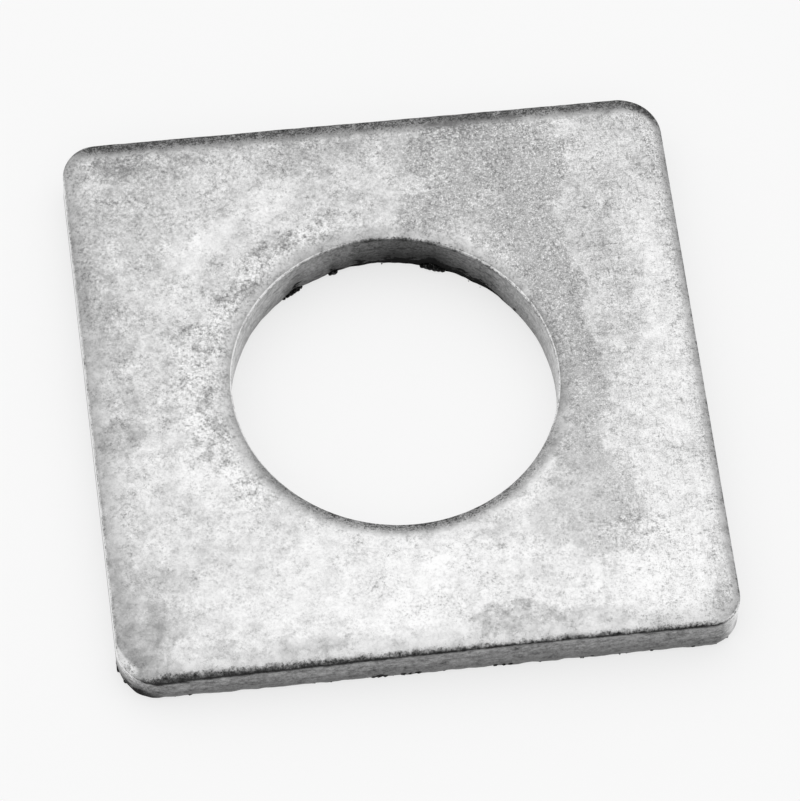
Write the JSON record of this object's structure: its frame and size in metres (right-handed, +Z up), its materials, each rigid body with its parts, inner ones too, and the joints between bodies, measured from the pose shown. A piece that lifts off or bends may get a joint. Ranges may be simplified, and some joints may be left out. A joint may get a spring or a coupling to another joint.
{
  "type": "square plate washer",
  "caption": "Flat square steel washer with rounded corners and a large central bolt hole, die-rolled on its upper edges, with a mottled zinc coat.",
  "frame": {"origin": "centre of the bolt hole at the plate's lower face", "axes": "+Z up along the bolt hole's axis, out of the die-rolled upper face; X and Y along the sides of the square"},
  "size_m": [0.045, 0.045, 0.004],
  "materials": {
    "zinc_coat": "zinc-coated steel, mottled in bright and dull patches, with a fine grain"
  },
  "bodies": {
    "root": {"washer": "zinc_coat"}
  },
  "joints": []
}
